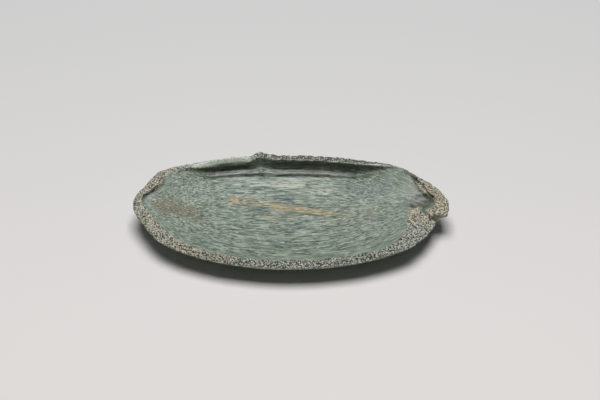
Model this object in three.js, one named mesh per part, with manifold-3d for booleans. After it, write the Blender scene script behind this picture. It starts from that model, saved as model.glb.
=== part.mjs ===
// A shallow paint dish, carved from one piece of green schist in the form of one valve of a river
// mussel. The long hinge side is at the back, with a beak on its rim, a bevel to the left of the
// beak and a ledge to the right, both undercut. The bowl is thin at the front and deepest behind
// the middle. The rim is worn and chipped all round. At the right end the top layer of the stone
// has split away, and a knob of the old rim stands over the break.
//
// Millimetres. X runs along the dish, Y towards the hinge side, Z up. Angles round the dish are
// degrees from +X, turning to +Y. The origin is under the middle of the dish, on the surface that
// the dish stands on.
import * as THREE from "three";
import { mergeVertices } from "three/addons/utils/BufferGeometryUtils.js";
import Module from "manifold-3d";

// Outline of the outer edge of the rim, seen from above, measured from the line through the tips
const HALF_LENGTH = 51.3;
const FRONT_REACH = 27.5;
const BACK_REACH = 22.3;
const FRONT_POWER = 2.0;
const BACK_RIGHT_POWER = 2.1;
const BACK_LEFT_POWER = 2.35;

// Height of the rim's outer edge on the line through the tips, and its climb to the hinge side
const RIM_HEIGHT = 9.0;
const RIM_CLIMB = 0.08;

// Band between the outer and inner edges of the rim, where the stone is chipped
const BAND_WIDTH = 2.8;
const BAND_RISE = 1.7;
const LEDGE_BAND_WIDTH = 2.3;
const LEDGE_BAND_FALL = 0.4;
const THIN_BAND_WIDTH = 0.9;
const TIP_BAND_WIDTH = 4.6;

// Inside the band: an edge, a shelf at the foot of the hinge wall, and a step down to the bowl
const EDGE_DROP = 0.6;
const WALL_DROP = 4.4;
const UNDERCUT = 0.8;
const SHELF_WIDTH = 1.4;
const SHELF_FALL = 0.3;
const STEP_DROP = 0.8;

// Hinge wall: it rises from the right tip, and runs out at the left, where its top is bevelled as far
// as the beak. Each value here is the pair of angles between which it comes or goes.
const LEDGE_IN = [22, 48];
const BEVEL_IN = [119, 127];
const BEVEL_OUT = [140, 160];
const BEVEL_FALL = 1.5;
const BEVEL_FLAT = 0.7;

// Beak on the rim, with its buttress down to the bowl
const BEAK_ANGLE = 113.5;
const BEAK_SPREAD = 6;
const BEAK_REACH = 1.1;
const BEAK_HEIGHT = 0.8;
const BUTTRESS_REACH = 1.3;

// Bowl
const FLOOR_HEIGHT = 3.5;
const BOWL_CENTRE_X = -3;
const BOWL_CENTRE_Y = 0.5;
const BOWL_POWER = 2.2;
const BOWL_BACK_POWER = 2.7;

// Hull, and the flat that it stands on
const HULL_FRONT_POWER = 1.9;
const HULL_BACK_POWER = 2.5;
const FOOT_HALF_LENGTH = 19;
const FOOT_HALF_WIDTH = 8;
const FOOT_CENTRE_Y = -2;

// Break at the right end, as places seen from above. Its face is flat, and falls to the right.
const KNOB_FOOT_X = 45;
const KNOB_FOOT_Y = -4.6;
const BREAK_INNER_X = 41;
const BREAK_INNER_Y = 1.2;
const BREAK_HEIGHT = 6.9;
const BREAK_SLOPE = 5.5;

// Splits in the end of the knob and across the rim at the left tip
const SPLIT_MOUTH = 0.7;
const SPLIT_DEPTH = 1.7;
const KNOB_SPLIT_HEIGHTS = [7.5, 8.7];

// Scar of a flake lost beside the knob
const SCAR_X = 42;
const SCAR_Y = 2;
const SCAR_LENGTH = 9.5;
const SCAR_WIDTH = 7;
const SCAR_DEPTH = 0.8;

// Faces
const STATIONS = 160;
const HULL_STEPS = 7;
const BOWL_STEPS = 8;

const { degToRad, radToDeg, lerp, smoothstep } = THREE.MathUtils;

const cosine = (angle) => Math.cos(degToRad(angle));
const sine = (angle) => Math.sin(degToRad(angle));

// Difference between two angles, from -180 to 180
const turn = (angle, from) => ((((angle - from) % 360) + 540) % 360) - 180;

// A smooth swelling of height 1 at an angle
const swell = (angle, at, spread) => Math.exp(-((turn(angle, at) / spread) ** 2));

// 1 from one angle to another, fading over `fade` degrees at each end
function between(angle, from, to, fade) {
  const past = Math.abs(turn(angle, (from + to) / 2)) - (to - from) / 2;
  return 1 - smoothstep(past, -fade / 2, fade / 2);
}

// 1 between two pairs of angles, rising over the first pair and falling over the second
const rising = (angle, [from, to]) => smoothstep(turn(angle, 90), turn(from, 90), turn(to, 90));
const within = (angle, start, end) => rising(angle, start) * (1 - rising(angle, end));

const onBevel = (angle) => within(angle, BEVEL_IN, BEVEL_OUT);
const onHinge = (angle) => within(angle, LEDGE_IN, BEVEL_OUT);
const onBeak = (angle) => swell(angle, BEAK_ANGLE, BEAK_SPREAD);

// Raised lips of the rim next to the bowl, at the knob and at the left tip
const onLip = (angle) => between(angle, 5, 19, 5) + between(angle, 165, 177, 5);

// Distance from the middle to the outline: superellipse quadrants, with the beak and the wear
function outlineReach(angle) {
  const c = Math.abs(cosine(angle));
  const s = Math.abs(sine(angle));
  const atBack = sine(angle) >= 0;
  const backPower = cosine(angle) >= 0 ? BACK_RIGHT_POWER : BACK_LEFT_POWER;
  const power = atBack ? backPower : FRONT_POWER;
  const reach = atBack ? BACK_REACH : FRONT_REACH;
  const sound = ((c / HALF_LENGTH) ** power + (s / reach) ** power) ** (-1 / power);
  const full = BEAK_REACH * onBeak(angle) + 1.2 * swell(angle, 159, 7) + 0.9 * swell(angle, 29, 6);
  const worn = 1.3 * swell(angle, 170, 6) + 1.5 * swell(angle, 190, 8) + swell(angle, 14, 9);
  return sound + full - worn;
}

function outlinePoint(angle) {
  const reach = outlineReach(angle);
  return new THREE.Vector2(reach * cosine(angle), reach * sine(angle));
}

// Direction square to the outline, towards the bowl
function inward(angle) {
  const step = 4;
  const along = outlinePoint(angle + step).sub(outlinePoint(angle - step)).normalize();
  return new THREE.Vector2(-along.y, along.x);
}

function insetPoint(angle, inset, height) {
  const p = outlinePoint(angle).addScaledVector(inward(angle), inset);
  return new THREE.Vector3(p.x, p.y, height);
}

const outerHeight = (angle) =>
  RIM_HEIGHT +
  RIM_CLIMB * outlinePoint(angle).y +
  0.5 * onHinge(angle) +
  BEAK_HEIGHT * onBeak(angle);

function bandWidth(angle) {
  const hinge = lerp(BAND_WIDTH, LEDGE_BAND_WIDTH, onHinge(angle));
  const thinned = lerp(hinge, THIN_BAND_WIDTH, between(angle, 20, 27, 8));
  const left = lerp(thinned, TIP_BAND_WIDTH, between(angle, 165, 174, 6));
  const lowerLeft = left + 1.2 * swell(angle, 193, 14);
  return lerp(lowerLeft, TIP_BAND_WIDTH, between(angle, -16, 12, 8));
}

function bandRise(angle) {
  const front = BAND_RISE - 0.9 * between(angle, -8, 14, 8);
  return lerp(front, -LEDGE_BAND_FALL, onHinge(angle)) - BEVEL_FALL * onBevel(angle);
}

const edgeHeight = (angle) => outerHeight(angle) + bandRise(angle);
const wallDrop = (angle) =>
  lerp(EDGE_DROP, WALL_DROP, onHinge(angle)) - 1.9 * onBevel(angle) + 0.5 * onLip(angle);
const undercut = (angle) =>
  UNDERCUT * (onHinge(angle) * (1 - onBeak(angle)) * (1 - between(angle, 148, 160, 4))) +
  0.4 * onLip(angle);
const shelfWidth = (angle) =>
  lerp(0.6 * SHELF_WIDTH, SHELF_WIDTH, onHinge(angle)) + BUTTRESS_REACH * onBeak(angle);
const stepDrop = (angle) => lerp(0.1, STEP_DROP, onHinge(angle));
const creaseInset = (angle) => bandWidth(angle) + shelfWidth(angle) + 0.1;
const creaseHeight = (angle) =>
  edgeHeight(angle) - wallDrop(angle) - SHELF_FALL - stepDrop(angle);
const creasePoint = (angle) => insetPoint(angle, creaseInset(angle), creaseHeight(angle));

// The line where the bowl would meet its wall without the buttress and the wear
function evenCreasePoint(angle) {
  const reach = 36;
  const steps = 9;
  const sum = new THREE.Vector3();
  for (let i = -steps; i <= steps; i++) {
    sum.add(creasePoint(angle + (reach * i) / steps));
  }
  const mean = sum.divideScalar(2 * steps + 1);
  const narrowing = 0.87;
  return new THREE.Vector3(mean.x / narrowing, mean.y / narrowing, mean.z);
}

// The hull under the dish, from the foot (0) to the outer edge of the rim (1)
function hullPoint(angle, share) {
  const footReach = 1 / Math.hypot(cosine(angle) / FOOT_HALF_LENGTH, sine(angle) / FOOT_HALF_WIDTH);
  const foot = new THREE.Vector2(cosine(angle), sine(angle)).multiplyScalar(footReach);
  foot.y += FOOT_CENTRE_Y;
  const quarter = (share * Math.PI) / 2;
  const out = Math.sin(quarter) ** (2 / HULL_BACK_POWER);
  const steep = 1 - Math.cos(quarter) ** (2 / HULL_BACK_POWER);
  const shallow = out ** HULL_FRONT_POWER;
  const p = foot.lerp(outlinePoint(angle), out);
  const steepness = smoothstep(sine(angle), -0.35, 0.9);
  return new THREE.Vector3(p.x, p.y, outerHeight(angle) * lerp(shallow, steep, steepness));
}

// The rim inside its outer edge: places on its profile, as insets from the outline and heights
function rimProfile(angle) {
  const band = bandWidth(angle);
  const top = edgeHeight(angle);
  const drop = wallDrop(angle);
  const cut = undercut(angle);
  const shelfEnd = band + shelfWidth(angle);
  const crownInset = lerp(band / 2, BEVEL_FLAT, onBevel(angle));
  const crownHeight = outerHeight(angle) + 0.15 + 0.6 * bandRise(angle) * (1 - onBevel(angle));
  return [
    [crownInset, crownHeight],
    [band, top],
    [band - 0.4 * cut, top - 0.2 * drop],
    [band - cut, top - 0.5 * drop],
    [band - 0.7 * cut, top - 0.85 * drop],
    [band + 0.1, top - drop],
    [shelfEnd, top - drop - SHELF_FALL],
  ];
}

// The bowl, from its deepest point (0) to the foot of the step (1)
function bowlPoint(angle, share) {
  const centre = new THREE.Vector3(BOWL_CENTRE_X, BOWL_CENTRE_Y, 0);
  const even = evenCreasePoint(angle);
  const crease = creasePoint(angle);
  const power = lerp(BOWL_POWER, BOWL_BACK_POWER, smoothstep(sine(angle), 0, 0.8));
  const p = centre.lerp(even, share);
  p.z = lerp(FLOOR_HEIGHT, even.z, share ** power);
  return p.addScaledVector(crease.sub(even), share ** 8);
}

// A closed skin over rings of equal length, with a point that closes the first and the last ring
function loft(rings, firstPole, lastPole) {
  const stations = rings[0].length;
  const positions = rings.flat().concat(firstPole, lastPole).flatMap((p) => p.toArray());
  const first = rings.length * stations;
  const last = first + 1;
  const top = first - stations;
  const faces = [];
  for (let i = 0; i < stations; i++) {
    const next = (i + 1) % stations;
    faces.push(first, next, i);
    for (let low = 0; low < top; low += stations) {
      const high = low + stations;
      faces.push(low + i, low + next, high + next, low + i, high + next, high + i);
    }
    faces.push(top + i, top + next, last);
  }
  const geometry = new THREE.BufferGeometry();
  geometry.setAttribute("position", new THREE.Float32BufferAttribute(positions, 3));
  geometry.setIndex(faces);
  return geometry;
}

// Angles spaced so that the stations lie about as far apart at the tips as at the sides
function stationAngles() {
  const squash = Math.sqrt((FRONT_REACH + BACK_REACH) / (2 * HALF_LENGTH));
  return Array.from({ length: STATIONS }, (_, i) => {
    const even = (360 * i) / STATIONS;
    return radToDeg(Math.atan2(squash * sine(even), cosine(even)));
  });
}

function soundDish() {
  const angles = stationAngles();
  const rings = [];
  for (let i = 0; i <= HULL_STEPS; i++) {
    rings.push(angles.map((angle) => hullPoint(angle, i / HULL_STEPS)));
  }
  const profiles = angles.map(rimProfile);
  for (let i = 0; i < profiles[0].length; i++) {
    rings.push(angles.map((angle, station) => insetPoint(angle, ...profiles[station][i])));
  }
  for (let i = BOWL_STEPS; i >= 1; i--) {
    rings.push(angles.map((angle) => bowlPoint(angle, i / BOWL_STEPS)));
  }
  const foot = new THREE.Vector3(0, FOOT_CENTRE_Y, 0);
  const deepest = new THREE.Vector3(BOWL_CENTRE_X, BOWL_CENTRE_Y, FLOOR_HEIGHT);
  return loft(rings, foot, deepest);
}

// The layer that has split off. It ended at the knob, and ran out where its flat lower face came
// up through the bowl and the front rim.
function lostLayer() {
  const clear = 2 * HALF_LENGTH;
  const plan = new THREE.Shape([
    new THREE.Vector2(clear, KNOB_FOOT_Y - 1),
    new THREE.Vector2(KNOB_FOOT_X, KNOB_FOOT_Y),
    new THREE.Vector2(BREAK_INNER_X, BREAK_INNER_Y),
    new THREE.Vector2(0, BREAK_INNER_Y),
    new THREE.Vector2(0, -clear),
    new THREE.Vector2(clear, -clear),
  ]);
  const layer = new THREE.ExtrudeGeometry(plan, { depth: 2 * RIM_HEIGHT, bevelEnabled: false });
  layer.translate(-KNOB_FOOT_X, 0, 0);
  layer.rotateY(degToRad(BREAK_SLOPE));
  layer.translate(KNOB_FOOT_X, 0, BREAK_HEIGHT);
  return layer;
}

// A wedge whose edge lies `depth` below its mouth, running along X
function wedge(length) {
  const section = new THREE.Shape([
    new THREE.Vector2(-SPLIT_MOUTH / 2, 0.6),
    new THREE.Vector2(0, -SPLIT_DEPTH),
    new THREE.Vector2(SPLIT_MOUTH / 2, 0.6),
  ]);
  const solid = new THREE.ExtrudeGeometry(section, { depth: length, bevelEnabled: false });
  solid.translate(0, 0, -length / 2);
  solid.rotateX(Math.PI / 2);
  solid.rotateZ(Math.PI / 2);
  return solid;
}

// A split that runs into the end of the knob, above the break
function knobSplit(height) {
  const split = wedge(4);
  split.rotateX(Math.PI / 2);
  split.rotateZ(degToRad(-8));
  split.translate(KNOB_FOOT_X + 1.6, KNOB_FOOT_Y + 0.2, height);
  return split;
}

function tipSplit() {
  const angle = 178;
  const place = insetPoint(angle, bandWidth(angle) / 2, outerHeight(angle) + 0.8);
  const split = wedge(1.6 * bandWidth(angle));
  split.rotateZ(degToRad(12));
  split.translate(place.x, place.y, place.z);
  return split;
}

function scar() {
  const scoop = new THREE.IcosahedronGeometry(1, 4);
  scoop.scale(SCAR_LENGTH / 2, SCAR_WIDTH / 2, 2 * SCAR_DEPTH);
  scoop.rotateY(degToRad(-13));
  const surface = bowlPoint(0, (SCAR_X - BOWL_CENTRE_X) / (HALF_LENGTH - creaseInset(0) - BOWL_CENTRE_X));
  scoop.translate(SCAR_X, SCAR_Y, surface.z + SCAR_DEPTH);
  return scoop;
}

const wasm = await Module();
wasm.setup();

function toSolid(geometry) {
  const bare = geometry.clone();
  bare.deleteAttribute("normal");
  bare.deleteAttribute("uv");
  const merged = mergeVertices(bare, 1e-4);
  return new wasm.Manifold(
    new wasm.Mesh({
      numProp: 3,
      vertProperties: new Float32Array(merged.attributes.position.array),
      triVerts: new Uint32Array(merged.index.array),
    }),
  );
}

function toGeometry(solid) {
  const mesh = solid.getMesh();
  const geometry = new THREE.BufferGeometry();
  geometry.setAttribute("position", new THREE.BufferAttribute(mesh.vertProperties, 3));
  geometry.setIndex(new THREE.BufferAttribute(mesh.triVerts, 1));
  geometry.computeVertexNormals();
  return geometry;
}

function dish() {
  const lost = [lostLayer(), ...KNOB_SPLIT_HEIGHTS.map(knobSplit), tipSplit(), scar()];
  const solid = lost.reduce((kept, piece) => kept.subtract(toSolid(piece)), toSolid(soundDish()));
  const stone = new THREE.MeshStandardMaterial({ color: 0x83907f, roughness: 0.55, metalness: 0 });
  const geometry = toGeometry(solid);
  geometry.computeBoundingBox();
  const middle = geometry.boundingBox.getCenter(new THREE.Vector3());
  geometry.translate(-middle.x, -middle.y, 0);
  const mesh = new THREE.Mesh(geometry, stone);
  mesh.name = "dish";
  return mesh;
}

const paintDish = new THREE.Group();
paintDish.name = "paint_dish";
paintDish.add(dish());

export default paintDish;
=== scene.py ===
from math import cos, radians, sin, tan, tau

import bmesh
import bpy
import numpy as np
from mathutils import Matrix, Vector, kdtree, noise


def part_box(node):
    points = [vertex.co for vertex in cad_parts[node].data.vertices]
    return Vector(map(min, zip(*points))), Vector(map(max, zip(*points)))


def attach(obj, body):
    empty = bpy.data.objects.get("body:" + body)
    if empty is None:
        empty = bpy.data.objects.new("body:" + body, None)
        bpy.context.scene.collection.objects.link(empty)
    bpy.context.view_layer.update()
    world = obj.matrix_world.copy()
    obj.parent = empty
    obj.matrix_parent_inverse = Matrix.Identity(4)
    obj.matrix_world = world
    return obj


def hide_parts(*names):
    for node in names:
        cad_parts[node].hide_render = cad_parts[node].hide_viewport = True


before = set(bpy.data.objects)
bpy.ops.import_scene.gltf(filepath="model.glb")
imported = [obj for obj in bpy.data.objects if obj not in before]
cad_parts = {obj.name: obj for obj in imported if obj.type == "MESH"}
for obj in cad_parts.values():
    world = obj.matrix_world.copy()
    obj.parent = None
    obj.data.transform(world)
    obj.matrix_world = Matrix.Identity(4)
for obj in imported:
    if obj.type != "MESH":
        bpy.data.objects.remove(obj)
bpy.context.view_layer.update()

# Camera. The dish is seen from the front, over its thin edge, through a long lens that looks down
# on the bowl. Lengths in this file are in metres, and the stone's own sizes are in millimetres.
CAMERA_DISTANCE = 0.545
CAMERA_ELEVATION = radians(42.0)
CAMERA_TARGET = Vector((0.00295, 0.0085, 0.0056))
camera = bpy.data.objects.new("camera", bpy.data.cameras.new("camera"))
camera.data.lens = 100
camera.data.sensor_width = 36
back_to_camera = Vector((0, -cos(CAMERA_ELEVATION), sin(CAMERA_ELEVATION)))
camera.location = CAMERA_TARGET + CAMERA_DISTANCE * back_to_camera
camera.rotation_euler = back_to_camera.to_track_quat("Z", "Y").to_euler()
camera.data.clip_start = 0.05
camera.data.clip_end = 20
bpy.context.scene.collection.objects.link(camera)
bpy.context.scene.camera = camera

# Body of the dish: one piece of foliated green stone, carved and rubbed smooth inside, with its
# rim chipped down to the raw grain. The solid dish gives its form, recut in small even faces.
MM = 0.001
FACE_SIZE = 0.352 * MM


def even_skin(source):
    """The mesh of a solid, cut into even square faces."""
    welded = bmesh.new()
    welded.from_mesh(source.data)
    bmesh.ops.remove_doubles(welded, verts=welded.verts, dist=0.001 * MM)
    mesh = bpy.data.meshes.new("welded")
    welded.to_mesh(mesh)
    welded.free()
    rough = bpy.data.objects.new("rough", mesh)
    bpy.context.scene.collection.objects.link(rough)
    recut = rough.modifiers.new("recut", "REMESH")
    recut.mode = "VOXEL"
    recut.voxel_size = FACE_SIZE
    graph = bpy.context.evaluated_depsgraph_get()
    skin = bpy.data.meshes.new_from_object(rough.evaluated_get(graph))
    bpy.data.objects.remove(rough)
    return skin


skin = even_skin(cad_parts["dish"])
count = len(skin.vertices)
place = np.empty(count * 3)
skin.vertices.foreach_get("co", place)
place = place.reshape(-1, 3) / MM
edges = np.empty(len(skin.edges) * 2, int)
skin.edges.foreach_get("vertices", edges)
edges = edges.reshape(-1, 2)
valence = np.bincount(edges.ravel(), minlength=count)


def smoothed(values, rounds, weight=1.0):
    """Values on the skin's points, evened out with those of their neighbours."""
    values = values.copy()
    for _ in range(rounds):
        columns = values.reshape(count, -1)
        mean = np.empty_like(columns)
        for i in range(columns.shape[1]):
            here, there = columns[edges[:, 0], i], columns[edges[:, 1], i]
            total = np.bincount(edges[:, 0], there, count) + np.bincount(edges[:, 1], here, count)
            mean[:, i] = total / valence
        values += 0.5 * weight * (mean.reshape(values.shape) - values)
    return values


def normals_of(points):
    """Directions out of the stone at the skin's points."""
    skin.vertices.foreach_set("co", (points * MM).ravel())
    skin.update()
    out = np.empty(count * 3)
    skin.vertices.foreach_get("normal", out)
    return out.reshape(-1, 3)


def rise(low, high, values):
    """0 below `low`, 1 above `high`, and a smooth climb between."""
    share = np.clip((values - low) / (high - low), 0, 1)
    return share * share * (3 - 2 * share)


def near(distance, reach):
    """1 at no distance, and 0 at `reach` and beyond."""
    return 1 - rise(0.3 * reach, reach, np.abs(distance))


def rough_field(points, size, seed=0.0, basis="PERLIN_ORIGINAL"):
    """Noise of about -1 to 1 over points in millimetres, with lumps of the given size."""
    at = points / size + seed
    return np.array([noise.noise(Vector(p), noise_basis=basis) for p in at])


def between(start, end, fade):
    """1 from one angle round the dish to another, fading at both."""
    middle = (start + end) / 2
    past = np.abs((angle - middle + 180) % 360 - 180) - (end - start) / 2
    return 1 - rise(-fade / 2, fade / 2, past)


# Where each point lies: its angle round the dish, its way in from the outline as seen from above,
# how far it is below the rim there, and which side of the stone it's on
MIDDLE_X, MIDDLE_Y = -0.15, 2.2
OUTLINE_STEPS = 360
raw_normal = normals_of(place)
from_middle = place[:, :2] - [MIDDLE_X, MIDDLE_Y]
angle = np.degrees(np.arctan2(from_middle[:, 1], from_middle[:, 0])) % 360
reach = np.hypot(from_middle[:, 0], from_middle[:, 1])
outward = from_middle / reach[:, None]
sector = (angle / 360 * OUTLINE_STEPS).astype(int) % OUTLINE_STEPS
outline_reach = np.zeros(OUTLINE_STEPS)
np.maximum.at(outline_reach, sector, reach)
outline = kdtree.KDTree(OUTLINE_STEPS)
for i in range(OUTLINE_STEPS):
    turn = radians((i + 0.5) * 360 / OUTLINE_STEPS)
    at = outline_reach[i] * np.array([cos(turn), sin(turn)])
    outline.insert((at[0] + MIDDLE_X, at[1] + MIDDLE_Y, 0), i)
outline.balance()
inset = np.array([outline.find((x, y, 0))[2] for x, y, _ in place])
rim_top = np.zeros(OUTLINE_STEPS)
np.maximum.at(rim_top, sector, np.where(inset < 3.5, place[:, 2], 0))
below_rim = rim_top[sector] - place[:, 2]
facing_out = (raw_normal[:, :2] * outward).sum(1)
outside = rise(-0.1, 0.1, facing_out) * (1 - rise(0.3, 0.5, raw_normal[:, 2]))
underneath = (1 - rise(-0.4, -0.2, raw_normal[:, 2])) * rise(-0.4, -0.2, facing_out)
outside = smoothed(np.maximum(outside, underneath), 2)
inside = 1 - outside

# Unevenness that many marks share
blotch = rough_field(place, 4.5, 7.3) + 0.5 * rough_field(place, 2.0, 3.1)
fine_blotch = rough_field(place, 1.3, 9.7)

# The face of the break is the flat that the lost layer left, falling to the right
BREAK_HEIGHT, BREAK_X, BREAK_SLOPE = 6.9, 44.85, tan(radians(5.5))
over_break = place[:, 2] - BREAK_HEIGHT + BREAK_SLOPE * (place[:, 0] - BREAK_X)
on_break = near(over_break, 0.35) * rise(0.85, 0.95, raw_normal[:, 2])
on_break = smoothed(on_break * (place[:, 0] > 18) * (place[:, 1] < 3.6) * (inset < 13), 4)
on_break = rise(0.3, 0.7, on_break + 0.15 * fine_blotch)

# The hinge wall under the back rim, its undercut, and the crease at its foot
on_ledge = between(25, 107, 6)
on_bevel = between(123, 153, 5)
on_beak = between(106, 121, 8)
band = (
    3.1
    - 0.7 * between(26, 150, 10)
    - 1.6 * between(15, 27, 6)
    + 1.7 * between(165, 174, 6)
    + 1.3 * between(183, 208, 10)
    + 1.6 * between(-16, 12, 8)
)
hinge_wall = inside * (on_ledge + on_bevel) * rise(0.8, 1.4, below_rim) * (1 - rise(3.2, 4.0, inset))
hinge_wall *= 1 - rise(5.0, 5.8, below_rim)
crease = inside * between(28, 152, 10) * rise(2.5, 3.5, below_rim)
crease *= near(inset - 4.0 - 1.0 * on_beak, 0.55)
lip_shade = inside * (between(3, 20, 4) + between(164, 179, 4)) * near(inset - band - 0.2, 0.7)

# Chipped band of the rim
chipped = inside * (1 - rise(-0.5, 0.5, inset - band + 0.55 * blotch + 0.3 * fine_blotch))
chipped *= 1 - between(121, 153, 5) * rise(0.3, 0.6, inset)
chipped *= 1 - rise(0.9, 1.4, below_rim) * between(25, 155, 8)
chipped = np.maximum(chipped, on_break)
outer_chips = (1 - rise(0.3, 1.2, inset + 0.5 * blotch)) * (1 - rise(0.5, 1.6, below_rim + blotch))
chipped = np.maximum(chipped, outside * outer_chips)

# Worn parts are rounded more than the edges of the rim
in_bowl = inside * rise(5.0, 7.5, inset)
even = np.maximum(in_bowl, outside * rise(1.0, 3.0, inset))
place = smoothed(place, 2)
place = smoothed(place, 30, even[:, None])

# Evening out draws in the thin edges, so the skin goes back to the size of the solid
low, high = np.array(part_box("dish")) / MM
place = low + (place - place.min(0)) * (high - low) / (place.max(0) - place.min(0))
normal = normals_of(place)

# Streaks of the foliation run from tip to tip, drawn together more at the right
SLIM_RIGHT, SLIM_LEFT = 1.2, 0.45
along = place[:, 0] / 51.5
slim = np.clip(1 - along**2, 0.03, 1) ** np.where(along > 0, SLIM_RIGHT, SLIM_LEFT)
grain = np.column_stack([place[:, 0], (place[:, 1] - 2) / slim, place[:, 2] * 2])


def patch(centre_x, centre_y, half_x, half_y, tilt=0.0, ragged=0.4):
    """A ragged stain on the bowl: 1 at its middle, 0 outside it."""
    dx, dy = place[:, 0] - centre_x, place[:, 1] - centre_y
    c, s = cos(radians(tilt)), sin(radians(tilt))
    way = np.hypot((c * dx + s * dy) / half_x, (c * dy - s * dx) / half_y)
    return in_bowl * (1 - rise(0.4, 1.2, way + ragged * (blotch + 0.5 * fine_blotch)))


# Stains and veins in the bowl, by where they lie in it. The first two cream patches, at the back of
# the floor, are a painted sheen
ochre = patch(-1, 6.6, 6, 2.2, -6) + patch(6.5, 4.6, 7, 2.0, -8) + patch(-16.5, 9.5, 5, 2.6)
ochre += patch(-7.5, 8.8, 5, 1.5) + 0.7 * patch(13.4, 3.2, 5, 1.2) + 0.4 * patch(-4, 2.6, 8, 1.0)
cream_and_sheen = patch(-2.5, 17.6, 9, 1.5) + 0.6 * patch(9, 13.5, 7, 3) + 0.8 * patch(36, 13.8, 4.5, 2.2, -25)
cream_and_sheen += 0.5 * patch(2.5, 1.6, 4.5, 1.4, 10)
blue = patch(-11.6, 15, 2.4, 2.8) + patch(-2, 11.3, 4, 1.8) + 0.6 * patch(-13, 6, 7, 1.4)
blue += 0.5 * patch(3, -0.6, 5, 1.8, 12) + 0.7 * patch(-4, 3.4, 9, 0.8) + 0.5 * patch(26, 14, 12, 4)
brown = patch(-40, 3.0, 9, 5.0) + 0.8 * patch(-32, 0.2, 7, 2.6, -20) + 0.3 * patch(24, 1, 16, 4, 8)

# Tan earth lodged in the chipped rim, most at the knob and round the left end
tan_rim = 0.15 + 0.75 * between(-8, 14, 8) + 0.7 * between(158, 176, 6) + 0.45 * between(186, 232, 14)
tan_rim = np.clip(tan_rim + 0.5 * blotch * between(150, 300, 20), 0, 1)

# Painted shade in the hollows: in the undercut of the hinge wall, in the crease at its foot and under
# the lip. The scar by the knob is painted darker too
scar = near(np.hypot((place[:, 0] - 41.8) / 5.5, (place[:, 1] - 3.9) / 3.6), 1.3)
shade_and_dark_pit = 0.55 * hinge_wall + 0.6 * crease + 0.8 * lip_shade + 0.75 * scar * inside * (1 - on_break)
shade_and_dark_pit = np.clip(smoothed(shade_and_dark_pit * (1 + 0.3 * fine_blotch), 1), 0, 1)

# A painted highlight along the inner edge of the ledge, and a scratch near the left tip
ledge_highlight = inside * between(27, 108, 3) * near(inset - 2.35, 0.45) * (1 - rise(0.7, 1.0, below_rim))
SCRATCH = np.array([[-47.1, 3.8], [-43.0, -1.7]])
run = SCRATCH[1] - SCRATCH[0]
share = np.clip(((place[:, :2] - SCRATCH[0]) @ run) / (run @ run), 0, 1)
off_scratch = np.hypot(*(place[:, :2] - SCRATCH[0] - share[:, None] * run).T)
highlight_and_scratch = np.clip(ledge_highlight + inside * 0.5 * near(off_scratch, 0.3), 0, 1)

# The step in the foliation that curves across the floor
step_line = -7.9 + 9.4 * (1 - np.exp(-(place[:, 0] + 0.3) / 7))
before_step = rise(-0.8, 0.8, place[:, 1] - step_line)
step_reach = rise(-4, 1, place[:, 0]) * (1 - rise(12, 20, place[:, 0]))
step_reach *= near(place[:, 1] - step_line, 9)

# Wear, tool marks and chips
streak = rough_field(grain * [0.09, 1, 1], 1.1, 11.0)
streak += 0.6 * rough_field(grain * [0.12, 1, 1], 0.55, 5.0)
hollows = rough_field(place, 9.0, 21.0)
chips = rough_field(place, 1.5, 2.0, "VORONOI_F1") - 0.5
grit = rough_field(place, 0.8, 31.0)
crumbs = rough_field(place, 2.6, 17.0)
whole = 1 - chipped
lift = 0.10 * hollows * whole + 0.08 * streak * in_bowl * whole
lift += 0.04 * grit * whole
lift += chipped * (0.32 * crumbs + 0.30 * chips + 0.20 * grit)
lift += 0.22 * (before_step - 0.5) * step_reach * in_bowl
place = place + normal * lift[:, None]
place[:, 2] = np.maximum(place[:, 2], 0)
normals_of(place)

marks = {
    "chipped": chipped,
    "tan": tan_rim,
    "dark_rim": on_ledge + 0.35 * between(215, 350, 20),
    "shade_and_dark_pit": shade_and_dark_pit,
    "ochre": ochre,
    "cream_and_sheen": cream_and_sheen,
    "blue": blue,
    "brown": brown,
    "highlight_and_scratch": highlight_and_scratch,
    "bevel": on_bevel * inside * (1 - hinge_wall) * near(inset - 1.6, 2.0),
}
for name, values in marks.items():
    layer = skin.attributes.new(name, "FLOAT", "POINT")
    layer.data.foreach_set("value", np.clip(values, 0, 1).astype(np.float32))
layer = skin.attributes.new("grain", "FLOAT_VECTOR", "POINT")
layer.data.foreach_set("vector", grain.astype(np.float32).ravel())

skin.name = "stone_dish"
stone_dish = bpy.data.objects.new("stone_dish", skin)
bpy.context.scene.collection.objects.link(stone_dish)
for face in skin.polygons:
    face.use_smooth = True


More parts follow.
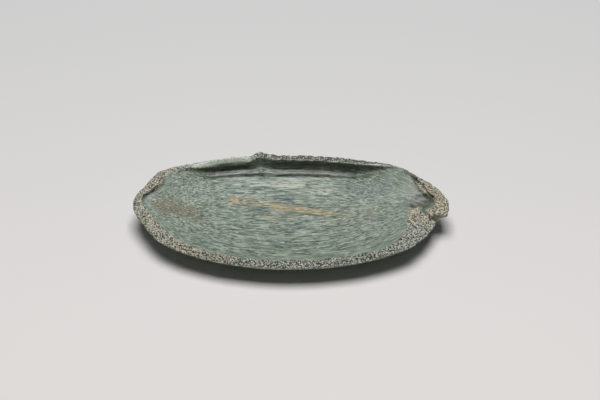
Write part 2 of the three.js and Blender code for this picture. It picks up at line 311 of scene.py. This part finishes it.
class Shade:
    """A socket of a material's nodes. Arithmetic on it adds the Math nodes that work it out."""

    def __init__(self, tree, socket=None):
        self.tree = tree
        self.socket = socket

    def node(self, kind, settings=None, inputs=None, output=0):
        """Adds a node, sets it up, fills its sockets with values or links, and gives an output."""
        made = self.tree.nodes.new(kind)
        for name, value in (settings or {}).items():
            setattr(made, name, value)
        for name, value in (inputs or {}).items():
            if isinstance(value, Shade):
                self.tree.links.new(value.socket, made.inputs[name])
            else:
                made.inputs[name].default_value = value
        return Shade(self.tree, made.outputs[output] if made.outputs else None)

    def math(self, operation, *values):
        return self.node("ShaderNodeMath", {"operation": operation}, dict(enumerate(values)))

    def __add__(self, other):
        return self.math("ADD", self, other)

    def __sub__(self, other):
        return self.math("SUBTRACT", self, other)

    def __rsub__(self, other):
        return self.math("SUBTRACT", other, self)

    def __mul__(self, other):
        return self.math("MULTIPLY", self, other)

    __radd__ = __add__
    __rmul__ = __mul__

    def step(self, low, high):
        """0 below `low`, 1 above `high`, and a smooth climb between."""
        return self.node(
            "ShaderNodeMapRange",
            {"interpolation_type": "SMOOTHSTEP"},
            {"Value": self, "From Min": low, "From Max": high},
        )

    def mix(self, first, second):
        """The first colour where this is 0 and the second where it is 1."""
        inputs = {0: self, 6: first, 7: second}
        return self.node("ShaderNodeMix", {"data_type": "RGBA"}, inputs, output=2)


def paint(red, green, blue):
    """A colour as it looks on a screen, out of 255, in the light that the shader works in."""
    share = [c / 255 for c in (red, green, blue)]
    return [c / 12.92 if c <= 0.04045 else ((c + 0.055) / 1.055) ** 2.4 for c in share] + [1]


def new_material(name):
    """An empty material, and a start for its nodes."""
    material = bpy.data.materials.new(name)
    material.use_nodes = True
    material.node_tree.nodes.clear()
    return material, Shade(material.node_tree)


stone, start = new_material("green_schist")


def mark(name):
    return start.node("ShaderNodeAttribute", {"attribute_name": name}, output=2)


grain_at = start.node("ShaderNodeAttribute", {"attribute_name": "grain"}, output=1)
here = start.node("ShaderNodeTexCoord", output=3)


def lumps(at, size, detail=2.0, stretch=(1, 1, 1), shift=0.0):
    """Noise of 0 to 1 with lumps about `size` across, in the units of the place given."""
    inputs = {"Vector": at, "Scale": stretch, "Location": (shift, shift, 0)}
    moved = start.node("ShaderNodeMapping", None, inputs)
    settings = {"Vector": moved, "Scale": 1 / size, "Detail": detail}
    return start.node("ShaderNodeTexNoise", None, settings)


LONG = (0.09, 1, 1)
DASH = (0.16, 1, 1)
long_streak = lumps(grain_at, 0.6, 4, LONG)
broad_streak = lumps(grain_at, 1.9, 3, (0.14, 1, 1), 5)
dark_dash = lumps(grain_at, 0.42, 2, DASH, 9)
pale_dash = lumps(grain_at, 0.40, 2, DASH, 17)
sand = lumps(here, 0.42 * MM, 2)
grit_at = lumps(here, 0.55 * MM, 2, shift=3)
cloud = lumps(here, 5 * MM, 3, shift=8)

# Rubbed stone: grey-green, streaked along the foliation
rubbed = broad_streak.step(0.35, 0.65).mix(paint(118, 134, 122), paint(143, 153, 138))
rubbed = (cloud.step(0.45, 0.7) * 0.5).mix(rubbed, paint(124, 140, 136))
rubbed = (long_streak.step(0.52, 0.64) * 0.8).mix(rubbed, paint(172, 180, 164))
rubbed = (long_streak.step(0.49, 0.37) * 0.9).mix(rubbed, paint(84, 98, 88))
rubbed = (mark("blue") * broad_streak.step(0.25, 0.5) * 0.75).mix(rubbed, paint(84, 103, 108))
earth = mark("brown") * (0.3 + 0.7 * long_streak.step(0.4, 0.6)) * 0.8
rubbed = earth.mix(rubbed, paint(118, 104, 74))
# Cream patches, and a painted sheen at the back of the floor
rubbed = (mark("cream_and_sheen") * long_streak.step(0.35, 0.6) * 0.8).mix(rubbed, paint(196, 196, 184))
rubbed = (mark("ochre") * long_streak.step(0.42, 0.55) * 0.85).mix(rubbed, paint(190, 164, 118))
rubbed = (dark_dash.step(0.54, 0.63) * 0.8).mix(rubbed, paint(58, 70, 62))
rubbed = (pale_dash.step(0.56, 0.66) * 0.7).mix(rubbed, paint(198, 204, 190))

# Raw stone where it has chipped: pale and dark grains
raw = grit_at.step(0.45, 0.55).mix(paint(62, 68, 62), paint(166, 170, 160))
raw = sand.step(0.55, 0.63).mix(raw, paint(216, 216, 204))
raw = sand.step(0.45, 0.37).mix(raw, paint(30, 34, 30))
raw = (mark("tan") * grit_at.step(0.42, 0.58) * 0.65).mix(raw, paint(196, 178, 142))
raw = (mark("dark_rim") * grit_at.step(0.66, 0.46) * 0.75).mix(raw, paint(58, 66, 60))

# Bevel left of the beak: cut with fine slanting strokes
part = start.node("ShaderNodeSeparateXYZ", None, {0: here}, output=0)
part_y = start.node("ShaderNodeSeparateXYZ", None, {0: here}, output=1)
part_z = start.node("ShaderNodeSeparateXYZ", None, {0: here}, output=2)
STROKE_SPACING = 0.85 * MM
STROKE_SLANT = 0.53
across_strokes = part - STROKE_SLANT * (part_y + part_z)
stroke = (across_strokes * (tau / STROKE_SPACING) + 5 * cloud).math("SINE") * 0.5 + 0.5
strokes = mark("bevel") * stroke.step(0.35, 0.8) * sand.step(0.3, 0.6) * 0.9

colour = strokes.mix(rubbed, paint(205, 214, 198))
colour = mark("chipped").mix(colour, raw)
# Painted shade in the hollows, and the darker scar pit, mixed into the colour
colour = (mark("shade_and_dark_pit") * (0.65 + 0.35 * long_streak.step(0.6, 0.4))).mix(colour, paint(46, 44, 34))
# A painted highlight on the ledge's inner edge, and the pale scratch
colour = (mark("highlight_and_scratch") * sand.step(0.3, 0.5) * 0.85).mix(colour, paint(215, 216, 206))

relief = long_streak * 0.5 + sand * 0.5 + (mark("chipped") * grit_at)
bump_settings = {"Strength": 0.6, "Distance": 0.12 * MM, "Height": relief}
bump = start.node("ShaderNodeBump", None, bump_settings)
surface = start.node(
    "ShaderNodeBsdfPrincipled",
    None,
    {"Base Color": colour, "Roughness": 0.42 + 0.4 * mark("chipped"), "Normal": bump},
)
start.node("ShaderNodeOutputMaterial", None, {"Surface": surface})
skin.materials.append(stone)
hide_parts("dish")
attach(stone_dish, "root")

# Table top: a plain pale sheet under the dish, which carries its shadow. Its colour is painted
# lighter at the front and darker towards the back, a painted fall-off of the light.
FLOOR_HALF = 1.5
sheet = bpy.data.meshes.new("table_top")
corners = [(x * FLOOR_HALF, y * FLOOR_HALF, 0) for x, y in ((-1, -1), (1, -1), (1, 1), (-1, 1))]
sheet.from_pydata(corners, [], [(0, 1, 2, 3)])
table_top = bpy.data.objects.new("table_top", sheet)
bpy.context.scene.collection.objects.link(table_top)
paper, start = new_material("pale_paper")
on_table = start.node("ShaderNodeTexCoord", output="Object")
depth = start.node("ShaderNodeSeparateXYZ", None, {0: on_table}, output=1)
tone = depth.step(-0.12, 0.17).mix(paint(228, 224, 222), paint(206, 206, 206))
finish = {"Base Color": tone, "Roughness": 0.9, "Specular IOR Level": 0.0}
surface = start.node("ShaderNodeBsdfPrincipled", None, finish)
start.node("ShaderNodeOutputMaterial", None, {"Surface": surface})
sheet.materials.append(paper)

# Light: one soft box straight above the dish, and a weak even light from all round. Together they
# light a level surface so that its colour comes out as it's written.
bpy.context.scene.view_settings.view_transform = "Standard"
SOFTBOX_SIZE = 0.6
SOFTBOX_HEIGHT = 1.0
SOFTBOX_WATTS = 10.7
ROOM_LIGHT = 0.04
softbox = bpy.data.objects.new("softbox", bpy.data.lights.new("softbox", "AREA"))
softbox.data.size = SOFTBOX_SIZE
softbox.data.energy = SOFTBOX_WATTS
softbox.location = (0, 0.1, SOFTBOX_HEIGHT)
bpy.context.scene.collection.objects.link(softbox)
world = bpy.data.worlds.new("studio")
bpy.context.scene.world = world
world.use_nodes = True
world.node_tree.nodes["Background"].inputs["Color"].default_value = (1, 1, 1, 1)
world.node_tree.nodes["Background"].inputs["Strength"].default_value = ROOM_LIGHT
